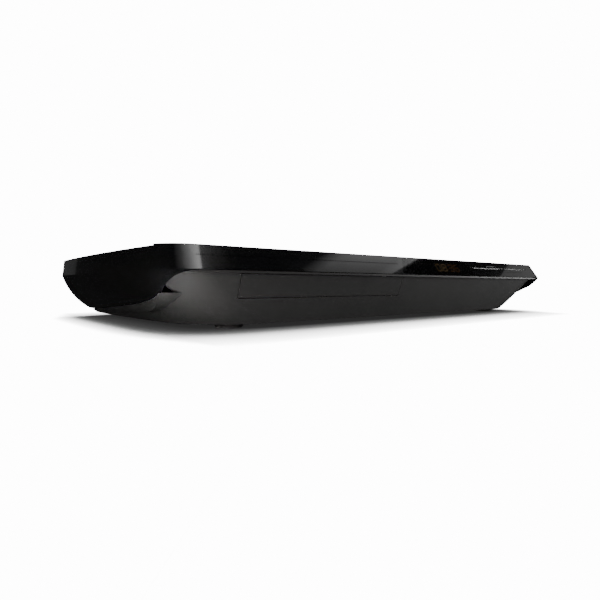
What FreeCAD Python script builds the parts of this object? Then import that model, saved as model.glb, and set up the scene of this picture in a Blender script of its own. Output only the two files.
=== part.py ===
import FreeCAD, Part
import math
import os
from FreeCAD import Vector

# Slim disc player. Lengths are millimetres.
# Every piece is drawn from x (right), v (depth behind the front prow line) and h (height above the
# casing's underside), and is set down on its feet when it is saved.

# Casing
casing_width = 435.0
casing_depth = 217.0
casing_height = 46.0
prow_height = 32.2          # height of the line where the glossy band meets the matte front
band_setback = 8.6          # how far the band leans back up to its top edge
undercut = 17.5             # how far the lower front leans back down to the underside
lip = 1.2                   # how far the wings stand over the matte sides
front_lip = 6.0             # how far the band stands over the matte front
prow_corner = 20.0          # plan radius of the front corners at the prow line
top_corner = 18.0
tub_corner = 26.0           # plan radius of the matte corners just under the prow line
foot_corner = 50.0          # the same corners at the underside
underside_half = 187.7      # half width of the side hull at the underside
hull_mid_half = 207.5       # half width of the side hull at hull_mid_height
hull_mid_height = 14.1
tub_half = 190.2            # half width of the matte tub at the underside
tub_mid_half = 206.0
tub_mid_height = 16.1
side_bow = 2.5              # how far the sides bow out in plan at the prow line
top_bow = 5.0
top_inset = 0.7             # how far the top edge stays inside the widest line
bow_apex = 150.0            # depth at which the casing is widest
wall = 2.0
seam = 0.3                  # gap between the casing's mouldings
foot_height = 3.0
jack_reach = 7.5            # how far the round jacks stand out of the rear
rim_thick = 1.4             # rim of the tub that closes the recess under the band
rim_depth = 24.0            # the tub's corners stand up inside the band as far back as this
bezel_depth = 22.0          # the front moulding ends here, a small step above the cover
cover_step = 0.8
cover_half = 206.7
cover_sheet = 1.2
steel = 1.0
board = 1.6

# The seam between the glossy wing and the matte tub, as depth and height
wing_seam = [(0, prow_height), (4, 30.3), (8, 27.6), (17, 21.4), (33, 16.6), (90, 10.8), (150, 6.8),
             (casing_depth, 3)]
crease_drop = (-0.6, -0.6, -0.6, -0.4, 3.0, 4.8, 3.0, 1.2)  # width of the crescent below it

# Front window and keys, drawn on the band's own slope
band_skin = wall * 0.85     # thickness of the band measured square to its slope
lens_thick = 0.9
lens_left = -20.0
lens_lean = 8.0             # the window's left end slants by this much
lens_right = casing_width / 2 - 145.5
lens_low = 0.9
lens_high = 15.0
glass_gap = 0.12
key_left = casing_width / 2 - 139.5
key_pitch = 22.5
key_width = 21.7
key_low = 5.4
key_high = 8.0
key_gap = 0.2
key_count = 4
key_travel = 0.5
front_board_back = 9.6      # the front board's rear face behind the band's skin
board_foot = 4.4            # how far up the slope the front board starts
display_left = 15.0
display_right = 60.0
display_high = 13.0
display_rim = 1.5           # wall of the display's frame
groove_low = 9.15           # a fine groove runs along the band
groove_high = 9.55
groove_deep = 0.35
post_radius = 2.6           # posts that carry the front board

# Tray door and tray
drive_x = -93.0
door_width = 145.0
door_low = 16.3
door_gap = 0.35
tray_width = 132.0
tray_low = 20.0
tray_high = 26.5
tray_front = 13.0
tray_rear = casing_depth - 27
disc_depth = 80.0           # depth of the disc's centre
disc_recess = 60.6
small_recess = 40.6
recess_floor = 22.6
small_floor = 21.7
tray_slot = 36.0
slack = 0.3                 # gap between parts that slide past each other
running = 0.05              # radial clearance of a shaft in its hole

# Loader frame, measured from its own centre line at drive_x
clamp_hole = 11.0           # radius of the hole in the clamp bridge
frame_wall = 3.0
frame_front = 25.0
frame_rear = casing_depth - 17
frame_floor = 4.0
frame_top = 31.0
plate = 1.6
motor_radius = 10.0
motor_height = 9.2

# Traverse
pivot_depth = frame_rear - 22
pivot_height = 7.5
pivot_radius = 2.0
traverse_left = -47.0
traverse_right = 60.0
traverse_front = 62.0
traverse_low = 6.5
traverse_thick = 2.0
lift_angle = 3.8
cam_travel = 12.0
cam_front = 57.5
cam_thick = 3.0
cam_pin = 1.2
pin_height = 8.2
cam_pins = (-22.0, 20.0)
rod_radius = 1.5
rod_height = 10.2
rod_places = (-31.0, 29.0)
rod_front = 94.0
rod_rear = pivot_depth - 8
sled_front = 97.0
sled_length = 26.0
lens_depth = 103.0
turntable_radius = 14.5
spindle_radius = 1.5

# Gears
gear_module = 1.0
tray_teeth = 24
pulley_teeth = 10
tray_gear_x = -43.0
tray_gear_depth = 44.0
mesh_turn = -15.0           # direction from the tray gear to the pulley gear, in degrees
belt_radius = 10.0          # on the pulley gear
motor_belt_radius = 3.5
motor_x = 4.0
belt_thick = 1.0
sled_module = 0.6
sled_teeth = 20
pinion_teeth = 10
sled_gear_x = 43.2
sled_gear_depth = 137.0
backlash = 0.16

total_depth = casing_depth + jack_reach
os.makedirs("parts", exist_ok=True)


def save(name, *shapes):
    """Join the shapes, set them on the feet and write the node."""
    whole = shapes[0] if len(shapes) == 1 else Part.makeCompound(list(shapes))
    whole = whole.copy()
    whole.translate(Vector(0, -total_depth / 2, foot_height))
    whole.exportStep("parts/%s.step" % name)


def box(x0, x1, v0, v1, h0, h1):
    return Part.makeBox(x1 - x0, v1 - v0, h1 - h0, Vector(x0, v0, h0))


def rod(x, v, h, radius, length, way=(0, 0, 1)):
    return Part.makeCylinder(radius, length, Vector(x, v, h), Vector(*way))


def ring(x, v, h, outer, inner, length, way=(0, 0, 1)):
    return rod(x, v, h, outer, length, way).cut(rod(x, v, h, inner, length, way))


def prism(points, along):
    """A flat outline, given as corner points, pushed along a vector."""
    corners = [Vector(*p) for p in points]
    return Part.Face(Part.makePolygon(corners + corners[:1])).extrude(Vector(*along))


def circle_x(h, low, mid, high):
    """Half width at height h on the arc through three (half width, height) points."""
    (x1, y1), (x2, y2), (x3, y3) = low, mid, high
    d = 2 * (x1 * (y2 - y3) + x2 * (y3 - y1) + x3 * (y1 - y2))
    s1, s2, s3 = x1 * x1 + y1 * y1, x2 * x2 + y2 * y2, x3 * x3 + y3 * y3
    cx = (s1 * (y2 - y3) + s2 * (y3 - y1) + s3 * (y1 - y2)) / d
    cy = (s1 * (x3 - x2) + s2 * (x1 - x3) + s3 * (x2 - x1)) / d
    radius = math.hypot(x1 - cx, y1 - cy)
    return cx + math.sqrt(radius ** 2 - (h - cy) ** 2)


half_width = casing_width / 2
top_half = half_width - top_inset


def hull_half(h):
    low = (underside_half, 0)
    mid = (hull_mid_half, hull_mid_height)
    return circle_x(h, low, mid, (half_width, prow_height))


def tub_half_at(h):
    low = (tub_half, 0)
    mid = (tub_mid_half, tub_mid_height)
    return circle_x(h, low, mid, (half_width - lip, prow_height))


def plan_wire(h, half, front, radius, bow, rear=casing_depth):
    """Closed outline at height h: straight front, rounded corners, gently bowed sides, straight rear."""
    heading = 2 * math.atan(bow / (bow_apex - front - radius))
    turn = math.pi / 2 - heading
    start = front + radius * (1 - math.cos(turn))
    side = (bow_apex - start) / math.sin(heading)

    def side_x(v):
        return half - side + math.sqrt(side ** 2 - (v - bow_apex) ** 2)

    flat = side_x(start) - radius * math.sin(turn)

    def corner(t):
        return flat + radius * math.sin(t), front + radius * (1 - math.cos(t))

    def at(sign, point):
        return Vector(sign * point[0], point[1], h)

    middle = (start + rear) / 2
    right = [at(1, corner(t)) for t in (0, turn / 2, turn)]
    left = [at(-1, corner(t)) for t in (turn, turn / 2, 0)]
    right_side = [at(1, (side_x(v), v)) for v in (start, middle, rear)]
    left_side = [at(-1, (side_x(v), v)) for v in (rear, middle, start)]
    edges = [Part.LineSegment(left[2], right[0]).toShape(), Part.Arc(*right).toShape(),
             Part.Arc(*right_side).toShape(), Part.LineSegment(right_side[2], left_side[0]).toShape(),
             Part.Arc(*left_side).toShape(), Part.Arc(*left).toShape()]
    return Part.Wire(edges)


def levels(count):
    return [prow_height * i / (count - 1) for i in range(count)]


def hull(inset, top, deeper=0.0):
    """The glossy outer form down to the underside, drawn inset from its skin."""
    rear = casing_depth + deeper
    low = [plan_wire(h, hull_half(h) - inset, inset, prow_corner - inset, side_bow, rear)
           for h in levels(5)]
    share = (top - prow_height) / (casing_height - prow_height)

    def mix(a, b):
        return a + (b - a) * share

    high = plan_wire(top, mix(half_width, top_half) - inset, mix(0, band_setback) + inset,
                     mix(prow_corner, top_corner) - inset, mix(side_bow, top_bow), rear)
    lower = Part.makeLoft(low, True, False)
    upper = Part.makeLoft([low[-1], high], True, True)
    return lower.fuse(upper)


def tub_form(inset, deeper=0.0):
    """The matte lower form: undercut front, corners that grow rounder towards the underside."""
    wires = []
    for h in levels(4):
        share = h / prow_height
        front = undercut + (front_lip - undercut) * share + inset
        radius = foot_corner + (tub_corner - foot_corner) * share - inset
        wires.append(plan_wire(h, tub_half_at(h) - inset, front, radius, side_bow, casing_depth + deeper))
    return Part.makeLoft(wires, True, False)


flat_half = half_width - side_bow - prow_corner
base_opening = 145.0        # half width of the opening that the base plate closes
rim_high = prow_height - seam / 2
rim_low = rim_high - rim_thick


def seam_prism(rise, x0, x1, upper=True, line=None):
    """Everything above (or below) the wing seam, or another line like it, between two x stations."""
    points = [Vector(x0, v, h + rise) for v, h in (line or wing_seam)]
    far = casing_depth + 20
    near = -20
    limit = 70 if upper else -30
    first = points[0]
    last = points[-1]
    curve = Part.BSplineCurve()
    curve.interpolate(points)
    corners = [last, Vector(x0, far, last.z), Vector(x0, far, limit), Vector(x0, near, limit),
               Vector(x0, near, first.z), first]
    edges = [curve.toShape()]
    edges += [Part.LineSegment(a, b).toShape() for a, b in zip(corners, corners[1:])]
    return Part.Face(Part.Wire(edges)).extrude(Vector(x1 - x0, 0, 0))


def front_block(rise):
    """The stretch behind the straight front, where the seam runs along the prow line instead."""
    return box(-flat_half, flat_half, -20, bezel_depth, -20, prow_height + rise)


def above_seam(rise):
    reach = half_width + 9
    return seam_prism(rise, -reach, reach).cut(front_block(rise))


def below_seam(rise):
    reach = half_width + 9
    return seam_prism(rise, -reach, reach, False).fuse(front_block(rise))


outer = hull(0, casing_height)
inner = hull(wall, casing_height - wall, 9)
glossy_shell = outer.cut(inner).common(above_seam(seam / 2))


def band_place(shape):
    """Turn a shape drawn on the band's own plane (x along, y up the slope, z outwards) into place."""
    slope = math.atan2(casing_height - prow_height, band_setback)
    placed = shape.copy()
    placed.rotate(Vector(0, 0, 0), Vector(1, 0, 0), math.degrees(slope))
    placed.translate(Vector(0, 0, prow_height))
    return placed


def slope_box(x0, x1, y0, y1, z0, z1):
    """A box drawn on the band's slope."""
    return band_place(Part.makeBox(x1 - x0, y1 - y0, z1 - z0, Vector(x0, y0, z0)))


def slope_prism(points, z0, z1):
    return band_place(prism([(x, y, z0) for x, y in points], (0, 0, z1 - z0)))


def window(grow):
    """Outline of the display window, whose left end slants like the light on the band."""
    return [(lens_left - lens_lean - grow, lens_low - grow), (lens_right + grow, lens_low - grow),
            (lens_right + grow, lens_high + grow), (lens_left - grow, lens_high + grow)]


def key_starts():
    return [key_left + key_pitch * i for i in range(key_count)]


def front_bezel():
    shell = glossy_shell.common(box(-half_width, half_width, -5, bezel_depth, 0, casing_height + 5))
    shell = shell.cut(slope_prism(window(glass_gap), -lens_thick - 0.05, 5))
    shell = shell.cut(slope_box(display_left - 1, display_right + 1, 2.6, display_high + 0.4, -6, 0))
    for x in key_starts():
        shell = shell.cut(slope_box(x - key_gap, x + key_width + key_gap, key_low - key_gap,
                                    key_high + key_gap, -6, 2))
    groove = [(-flat_half, lens_left - lens_lean - 1),
              (lens_right + 1, key_left + key_pitch * key_count + 14)]
    for x0, x1 in groove:
        shell = shell.cut(slope_box(x0, x1, groove_low, groove_high, -groove_deep, 1))
    for x in (display_left - 5, display_right + 7, key_left + key_pitch * key_count + 4):
        post = rod(x, 7.5, -front_board_back + board, post_radius,
                   front_board_back - board - band_skin + 0.3)
        shell = shell.fuse(band_place(post))
    return shell


def glossy_side(sign):
    x0, x1 = sorted((sign * cover_half, sign * (half_width + 5)))
    top = casing_height - cover_step
    side = glossy_shell.common(box(x0, x1, bezel_depth + seam, casing_depth, 0, top))
    return side.fuse(glossy_shell.common(box(*sorted((sign * flat_half, sign * (half_width + 5))),
                                             bezel_depth + seam, casing_depth, 0,
                                             casing_height - wall - 0.01)))


def ledge(sign):
    """The crescent of the tub that flares out to meet the wing's lower edge."""
    x0, x1 = sorted((sign * flat_half, sign * (half_width + 9)))
    crease = [(v, h - drop) for (v, h), drop in zip(wing_seam, crease_drop)]
    over = seam_prism(0, x0, x1, True, crease)
    return outer.common(over).common(below_seam(-seam / 2))


def rim():
    """Closes the recess behind the band's lower edge and stands the tub's corners up inside it."""
    inside = hull(wall + seam, casing_height - wall - seam, 9)
    corners = inside.common(tub_form(0)).common(box(-half_width, half_width, 0, rim_depth, 0, rim_high))
    return corners.fuse(inside.common(box(-half_width, half_width, 0, rim_depth, rim_low, rim_high)))


def lower_body():
    tub = tub_form(0).common(below_seam(-seam / 2))
    for sign in (-1, 1):
        tub = tub.fuse(ledge(sign))
    tub = tub.fuse(rim())
    cavity = tub_form(wall, 9).common(box(-half_width, half_width, 0, casing_depth + 9, wall, 60))
    tub = tub.cut(cavity)
    tub = tub.cut(box(-base_opening, base_opening, 50, from_rear(17), -1, wall + 1))
    door = box(drive_x - door_width / 2 - door_gap, drive_x + door_width / 2 + door_gap, -5, 24,
               door_low - door_gap, rim_low)
    return tub.cut(door)


def tray_fascia():
    panel = tub_form(0).cut(tub_form(2.4))
    panel = panel.common(box(drive_x - door_width / 2, drive_x + door_width / 2, -5, 24, door_low,
                             rim_low - seam))
    for x in (-50, 0, 50):
        panel = panel.fuse(box(drive_x + x - 8, drive_x + x + 8, tray_front - 2, tray_front, tray_low + 0.4,
                               tray_high - 0.4))
    return panel


def from_rear(distance):
    return casing_depth - distance


def slots(x0, v0, across, along, count, rows, pitch, row_pitch, h0, h1):
    cuts = [box(x0 + i * pitch, x0 + i * pitch + across, v0 + j * row_pitch, v0 + j * row_pitch + along,
                h0, h1) for i in range(count) for j in range(rows)]
    return Part.makeCompound(cuts)


cover_top = casing_height - cover_step


def top_cover():
    low = cover_top - cover_sheet
    sheet = box(-cover_half + seam, cover_half - seam, bezel_depth + seam, casing_depth, low, cover_top)
    sheet = sheet.cut(slots(112, from_rear(97), 2.2, 26, 14, 2, 5.4, 34, low - 1, cover_top + 1))
    for x in (-150, 0, 150):
        sheet = sheet.fuse(box(x - 14, x + 14, bezel_depth - 7, bezel_depth + 3, low - 1.4, low - 0.2))
        sheet = sheet.fuse(box(x - 14, x + 14, bezel_depth + seam, bezel_depth + 3, low - 1.4, low))
    flange = box(-cover_half + 6, cover_half - 6, casing_depth - 2 * steel - 0.2, casing_depth - steel - 0.2,
                 low - 8, low)
    for x, h in rear_screw_places():
        flange = flange.cut(rod(x, casing_depth - 6, h, screw_radius, 9, (0, 1, 0)))
    return sheet.fuse(flange)


def base_outline(half, h):
    return plan_wire(h, half, undercut + wall + 0.6, foot_corner - wall - 0.6, side_bow,
                     casing_depth - steel - 0.3)


def base_plate():
    sheet = Part.Face(base_outline(tub_half - wall - 0.6, wall)).extrude(Vector(0, 0, steel))
    sheet = sheet.cut(slots(120, from_rear(137), 2.4, 22, 12, 2, 5, 40, 0, 9))
    return sheet.cut(slots(10, from_rear(97), 2.4, 22, 16, 2, 5, 40, 0, 9))


foot_radius = 9.0
foot_places = [(-156, 38), (156, 38), (-165, casing_depth - 14), (165, casing_depth - 14)]


def rubber_feet():
    feet = []
    for x, v in foot_places:
        foot = rod(x, v, -foot_height, foot_radius - 0.8, foot_height)
        foot = foot.fuse(rod(x, v, -foot_height + 0.8, foot_radius, 1.4))
        feet.append(foot.cut(rod(x, v, -foot_height - 1, 3, 1.6)))
    return feet


# Rear sockets: x of each centre line
lan_x = 6.0
usb_x = 28.0
hdmi_x = 49.0
coax_x = 70.0
audio_x = 90.0
mains_x = 152.0
board_high = 9.0            # underside of the boards
deck = board_high + board   # top of the boards
jack_radius = 4.15
audio_rise = (6.5, 20.5)    # height of the audio jacks' axes over the board
coax_rise = 6.5
panel_gap = 0.2


def socket_block(x, width, height, depth, low=deck):
    return box(x - width / 2, x + width / 2, casing_depth - depth, casing_depth + 0.2, low, low + height)


def rear_cutouts():
    cut = []
    for x, width, height in ((lan_x, 16, 13.4), (usb_x, 14.4, 7.2), (hdmi_x, 15.4, 6.2)):
        cut.append(box(x - width / 2 - panel_gap, x + width / 2 + panel_gap, casing_depth - 3,
                       casing_depth + 1, deck - panel_gap, deck + height + panel_gap))
    for x, rises in ((coax_x, (coax_rise,)), (audio_x, audio_rise)):
        for rise in rises:
            cut.append(rod(x, casing_depth - 3, deck + rise, jack_radius + 0.8, 9, (0, 1, 0)))
    cut.append(box(mains_x - 12.3, mains_x + 12.3, casing_depth - 3, casing_depth + 1, 14.7, 28.3))
    return cut


screw_radius = 1.4


def rear_screw_places():
    places = [(x, cover_top - cover_sheet - 4.5) for x in (-190, -95, 0, 95, 190)]
    return places + [(-185, 12), (-60, 12), (118, 12), (181, 18)]


def rear_panel():
    low = wall + steel + 0.05
    high = casing_height - wall - 0.3
    sheet = hull(wall + seam, casing_height - wall - 0.1, 9)
    sheet = sheet.common(box(-half_width, half_width, casing_depth - steel, casing_depth, low, high))
    for cut in rear_cutouts():
        sheet = sheet.cut(cut)
    for x, h in rear_screw_places():
        sheet = sheet.cut(rod(x, casing_depth - 3, h, 1.6, 6, (0, 1, 0)))
    grille = [box(-170 + 6 * i, -167.4 + 6 * i, casing_depth - 3, casing_depth + 1, 22 + 9 * j, 28.5 + 9 * j)
              for i in range(14) for j in range(2)]
    return sheet.cut(Part.makeCompound(grille))


def rear_screws():
    screws = []
    for x, h in rear_screw_places():
        screw = rod(x, casing_depth - steel - 6, h, screw_radius, 6 + steel, (0, 1, 0))
        screw = screw.fuse(rod(x, casing_depth, h, 2.9, 1.3, (0, 1, 0)))
        for turn in (0, 90):
            cross = box(x - 1.7, x + 1.7, casing_depth + 0.6, casing_depth + 3, h - 0.35, h + 0.35)
            cross.rotate(Vector(x, 0, h), Vector(0, 1, 0), turn)
            screw = screw.cut(cross)
        screws.append(screw)
    return screws


def on_drive(shape):
    """Move a shape drawn about the drive's own centre line into place."""
    placed = shape.copy()
    placed.translate(Vector(drive_x, 0, 0))
    return placed


def tooth_points(centre_angle, pitch_radius, module, teeth):
    """Corners of one gear tooth, as polar radius and angle."""
    half = math.pi / (2 * teeth) - backlash * module / (2 * pitch_radius)
    tip = pitch_radius + 0.85 * module
    root = pitch_radius - 1.15 * module
    slope = math.tan(math.radians(20)) * module / pitch_radius
    return [(root, centre_angle - half - 0.9 * slope), (pitch_radius, centre_angle - half),
            (tip, centre_angle - half + 0.95 * slope), (tip, centre_angle + half - 0.95 * slope),
            (pitch_radius, centre_angle + half), (root, centre_angle + half + 0.9 * slope)]


def gear(x, v, h, module, teeth, tall, first_angle, bore):
    """Spur gear with one tooth centred on first_angle (radians)."""
    pitch_radius = module * teeth / 2
    corners = []
    for i in range(teeth):
        centre = first_angle + 2 * math.pi * i / teeth
        for radius, angle in tooth_points(centre, pitch_radius, module, teeth):
            corners.append((x + radius * math.cos(angle), v + radius * math.sin(angle), h))
    return prism(corners, (0, 0, tall)).cut(rod(x, v, h - 1, bore, tall + 2))


def rack(pitch_x, root_x, mesh_depth, first, last, h, tall, module):
    """Straight rack facing +x, with a gap centred on mesh_depth."""
    pitch = math.pi * module
    half = pitch / 4 - backlash * module / 2
    slope = math.tan(math.radians(20)) * module
    corners = [(root_x, first, h)]
    count_low = math.ceil((first - mesh_depth) / pitch)
    count_high = math.floor((last - mesh_depth) / pitch) - 1
    root = pitch_x - 1.15 * module
    tip = pitch_x + 0.85 * module
    corners.append((root, first, h))
    for i in range(count_low, count_high + 1):
        centre = mesh_depth + (i + 0.5) * pitch
        corners += [(root, centre - half - slope, h), (tip, centre - half + 0.85 * slope, h),
                    (tip, centre + half - 0.85 * slope, h), (root, centre + half + slope, h)]
    corners += [(root, last, h), (root_x, last, h)]
    return prism(corners, (0, 0, tall))


tray_gear_radius = gear_module * tray_teeth / 2
pulley_radius = gear_module * pulley_teeth / 2
mesh_angle = math.radians(mesh_turn)
pulley_x = tray_gear_x + (tray_gear_radius + pulley_radius) * math.cos(mesh_angle)
pulley_depth = tray_gear_depth + (tray_gear_radius + pulley_radius) * math.sin(mesh_angle)
tray_half = tray_width / 2
wall_in = tray_half + slack
wall_out = wall_in + frame_wall
rack_pitch_x = tray_gear_x - tray_gear_radius
floor_top = frame_floor + plate
rack_low = door_low + 0.4
ledge_top = tray_low - slack
motor_base = 9.7            # top of the loading motor's stand
hole_low = -52.0
hole_high = wall_in - 1


def loader_frame():
    frame = box(-wall_out, wall_out, frame_front, frame_rear, frame_floor, floor_top)
    frame = frame.cut(box(hole_low, hole_high, traverse_front + 4, pivot_depth + 6, 0, 20))
    for sign in (-1, 1):
        side = box(*sorted((sign * wall_in, sign * wall_out)), frame_front, frame_rear, frame_floor,
                   frame_top)
        rail = box(*sorted((sign * (wall_in - 3.3), sign * wall_out)), frame_front, frame_rear,
                   ledge_top - 2.2, ledge_top)
        frame = frame.fuse(side).fuse(rail)
        for v in (frame_front, 108, frame_rear - 20):
            frame = frame.fuse(box(*sorted((sign * (wall_in - 2.3), sign * wall_out)), v, v + 18,
                                   tray_high + slack, tray_high + slack + 1.8))
    lug_left = box(hole_low - 6, hole_low, pivot_depth - 5, pivot_depth + 5, frame_floor, pivot_height + 4)
    lug_right = box(hole_high, wall_in + 0.5, pivot_depth - 5, pivot_depth + 5, frame_floor, pivot_height + 4)
    frame = frame.fuse(lug_left).fuse(lug_right)
    frame = frame.cut(rod(hole_low - 7, pivot_depth, pivot_height, pivot_radius + running,
                          wall_out - hole_low + 9, (1, 0, 0)))
    frame = frame.fuse(rod(tray_gear_x, tray_gear_depth, frame_floor, 2, ledge_top - frame_floor))
    frame = frame.fuse(rod(tray_gear_x, tray_gear_depth, frame_floor, 4, 5))
    frame = frame.fuse(rod(pulley_x, pulley_depth, frame_floor, 1.5, 9.2))
    stand = box(motor_x - 12, motor_x + 12, pulley_depth - 12.6, pulley_depth + 13.4, floor_top,
                motor_base)
    stand = stand.cut(box(motor_x - 13, motor_x + 13, pulley_depth - 10.6, pulley_depth + 11.4, 0,
                          motor_base - 0.8))
    stand = stand.cut(rod(motor_x, pulley_depth, 0, 3, 20))
    frame = frame.fuse(stand)
    for v in (56.7, 61.2):
        frame = frame.fuse(box(cam_low, cam_high + cam_travel + 6, v - 0.5, v,
                               frame_floor, floor_top + 0.6))
    for x, v in frame_screw_places():
        frame = frame.cut(rod(x, v, 0, 1.7, 9))
    return on_drive(frame)


cam_low = -45.0
cam_high = 38.0
cam_base = floor_top + slack


def frame_screw_places():
    return [(-wall_in + 6, frame_front + 5), (wall_in - 8, frame_front + 5),
            (-wall_in + 6, frame_rear - 6), (wall_in - 8, frame_rear - 6)]


def disc_tray():
    slab = box(-tray_half, tray_half, tray_front, tray_rear, tray_low, tray_high)
    slab = slab.cut(rod(0, disc_depth, recess_floor, disc_recess, 20))
    slab = slab.cut(rod(0, disc_depth, small_floor, small_recess, 20))
    slot = box(-tray_slot / 2, tray_slot / 2, disc_depth, tray_rear + 5, 0, 60)
    slot = slot.fuse(rod(0, disc_depth, 0, tray_slot / 2, 60))
    slab = slab.cut(slot)
    for sign in (-1, 1):
        slab = slab.cut(box(*sorted((sign * 42, sign * 60)), disc_depth + disc_recess + 5.4, tray_rear - 6,
                            recess_floor, 60))
    teeth = rack(rack_pitch_x, rack_pitch_x - 4, tray_gear_depth, 39, tray_rear - 1, rack_low,
                 tray_low - rack_low + 0.1, gear_module)
    return on_drive(slab.fuse(teeth))


def tray_gear():
    return on_drive(gear(tray_gear_x, tray_gear_depth, 9.2, gear_module, tray_teeth, ledge_top - 9.4,
                         math.pi, 2 + running))


def pulley_gear():
    phase = mesh_angle + math.pi + math.pi / pulley_teeth
    pinion = gear(pulley_x, pulley_depth, 8.4, gear_module, pulley_teeth, 4.6, phase, 1.5 + running)
    wheel = ring(pulley_x, pulley_depth, floor_top + 0.3, belt_radius + 1, 1.5 + running, 2.5)
    groove = ring(pulley_x, pulley_depth, floor_top + 0.9, belt_radius + 2, belt_radius - 0.05, 1.3)
    return on_drive(pinion.fuse(wheel.cut(groove)))


def motor_pulley():
    wheel = rod(motor_x, pulley_depth, floor_top + 0.3, motor_belt_radius + 1, 2.5)
    groove = ring(motor_x, pulley_depth, floor_top + 0.9, 7, motor_belt_radius - 0.05, 1.3)
    return on_drive(wheel.cut(groove).cut(rod(motor_x, pulley_depth, 0, 1, 12)).fuse(
        rod(motor_x, pulley_depth, floor_top + 0.3, 1, 5)))


def belt_loop(grow, h, tall):
    """A disc at each pulley and the strip between their outer tangents."""
    r0 = belt_radius + grow
    r1 = motor_belt_radius + grow
    gap = motor_x - pulley_x
    lean = math.asin((r0 - r1) / gap)
    up = (math.sin(lean), math.cos(lean))
    corners = [(pulley_x + r0 * up[0], pulley_depth + r0 * up[1], h),
               (motor_x + r1 * up[0], pulley_depth + r1 * up[1], h),
               (motor_x + r1 * up[0], pulley_depth - r1 * up[1], h),
               (pulley_x + r0 * up[0], pulley_depth - r0 * up[1], h)]
    web = prism(corners, (0, 0, tall))
    return web.fuse(rod(pulley_x, pulley_depth, h, r0, tall)).fuse(rod(motor_x, pulley_depth, h, r1, tall))


def drive_belt():
    h = floor_top + 1.05
    return on_drive(belt_loop(belt_thick, h, 1.0).cut(belt_loop(0, h - 1, 3)))


def loading_motor():
    can = rod(motor_x, pulley_depth, motor_base, motor_radius, motor_height)
    can = can.fuse(rod(motor_x, pulley_depth, motor_base + motor_height, 3, 0.7))
    return on_drive(can.cut(rod(motor_x, pulley_depth, 9, 1 + running, 3)))


def cam_slider():
    bar = box(cam_low, cam_high, cam_front, cam_front + cam_thick, cam_base, 17.6)
    rise = (pivot_depth - cam_front - cam_thick / 2) * math.sin(math.radians(lift_angle))
    half = cam_pin + 0.35
    low = pin_height
    for x in cam_pins:
        corners = [(x + half, low - half), (x + half, low + half), (x - cam_travel, low + rise + half),
                   (x - cam_travel - half, low + rise + half), (x - cam_travel - half, low + rise - half),
                   (x, low - half)]
        bar = bar.cut(prism([(a, cam_front - 1, b) for a, b in corners], (0, cam_thick + 2, 0)))
    return on_drive(bar)


def traverse_frame():
    top = traverse_low + traverse_thick
    sheet = box(traverse_left, traverse_right, traverse_front, pivot_depth + 4, traverse_low, top)
    sheet = sheet.cut(box(-36, 34, rod_front + 0.5, rod_rear - 4, 0, 20))
    for x in rod_places:
        for v in (rod_front, rod_rear - 4):
            sheet = sheet.fuse(box(x - 3, x + 3, v - 3.5, v + 4.5, traverse_low, rod_height + 2.4))
        sheet = sheet.cut(rod(x, rod_front, rod_height, rod_radius, rod_rear - rod_front, (0, 1, 0)))
    sheet = sheet.fuse(rod(hole_low - 5.5, pivot_depth, pivot_height, pivot_radius,
                           traverse_left - hole_low + 6, (1, 0, 0)))
    sheet = sheet.fuse(rod(traverse_right - 1, pivot_depth, pivot_height, pivot_radius,
                           wall_out - traverse_right, (1, 0, 0)))
    for x in cam_pins:
        sheet = sheet.fuse(rod(x, cam_front + 0.2, pin_height, cam_pin,
                               traverse_front - cam_front + 1, (0, 1, 0)))
    sheet = sheet.fuse(rod(sled_gear_x, sled_gear_depth, traverse_low, 1.5, 5.4))
    for v in (-3.5, 3.5):
        sheet = sheet.fuse(rod(sled_motor_x + 4.6, sled_gear_depth + v, traverse_low, 0.9, 5.5))
    return on_drive(sheet)


sled_motor_x = sled_gear_x + sled_module * (sled_teeth + pinion_teeth) / 2
motor_top = traverse_low + traverse_thick


def spindle_motor():
    can = rod(0, disc_depth, motor_top, 13, 4.2)
    return on_drive(can.cut(rod(0, disc_depth, motor_top + 0.6, spindle_radius + running, 6)))


def turntable():
    base = motor_top + 4.5
    disc = rod(0, disc_depth, base, turntable_radius, 3.6)
    disc = disc.cut(ring(0, disc_depth, base + 3.2, 20, 13.6, 3))
    hub = rod(0, disc_depth, base + 3.2, 7.4, 1.9)
    cone = Part.makeCone(7.4, 5.2, 1.2, Vector(0, disc_depth, base + 5.1))
    stem = rod(0, disc_depth, motor_top + 0.9, spindle_radius, 4)
    return on_drive(disc.fuse(hub).fuse(cone).fuse(stem))


def guide_rods():
    length = rod_rear - rod_front
    return [on_drive(rod(x, rod_front, rod_height, rod_radius, length, (0, 1, 0))) for x in rod_places]


def pickup_sled():
    v0 = sled_front + 2
    v1 = sled_front + sled_length
    body = box(-35, 33.5, v0, v1, motor_top + 0.4, 12.6)
    body = body.fuse(box(-20, 15, v0 + 1, v1 - 3, 5.2, motor_top + 1))
    left, right = rod_places
    body = body.cut(rod(left, v0 - 1, rod_height, rod_radius + running, 40, (0, 1, 0)))
    body = body.cut(box(right - rod_radius - running, 40, v0 - 1, v1 + 1, rod_height - rod_radius - running,
                        rod_height + rod_radius + running))
    pitch_x = sled_gear_x - sled_module * sled_teeth / 2
    last = sled_gear_depth + 3
    teeth = rack(pitch_x, 33, sled_gear_depth, v0, last, 9.2, 2.8, sled_module)
    body = body.fuse(teeth)
    body = body.fuse(box(28, 34, v0, v1, 11.75, 12.6))
    well = box(-6, 6, lens_depth - 5, lens_depth + 5, 10.6, 20)
    return on_drive(body.cut(well))


def objective_lens():
    holder = box(-5.2, 5.2, lens_depth - 4, lens_depth + 4.2, 11.0, 14.6)
    lens = rod(0, lens_depth, 14, 2.8, 1.3)
    return on_drive(holder.fuse(lens))


def sled_gear():
    return on_drive(gear(sled_gear_x, sled_gear_depth, motor_top + 0.5, sled_module, sled_teeth, 2.6,
                         math.pi, 1.5 + running))


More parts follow.
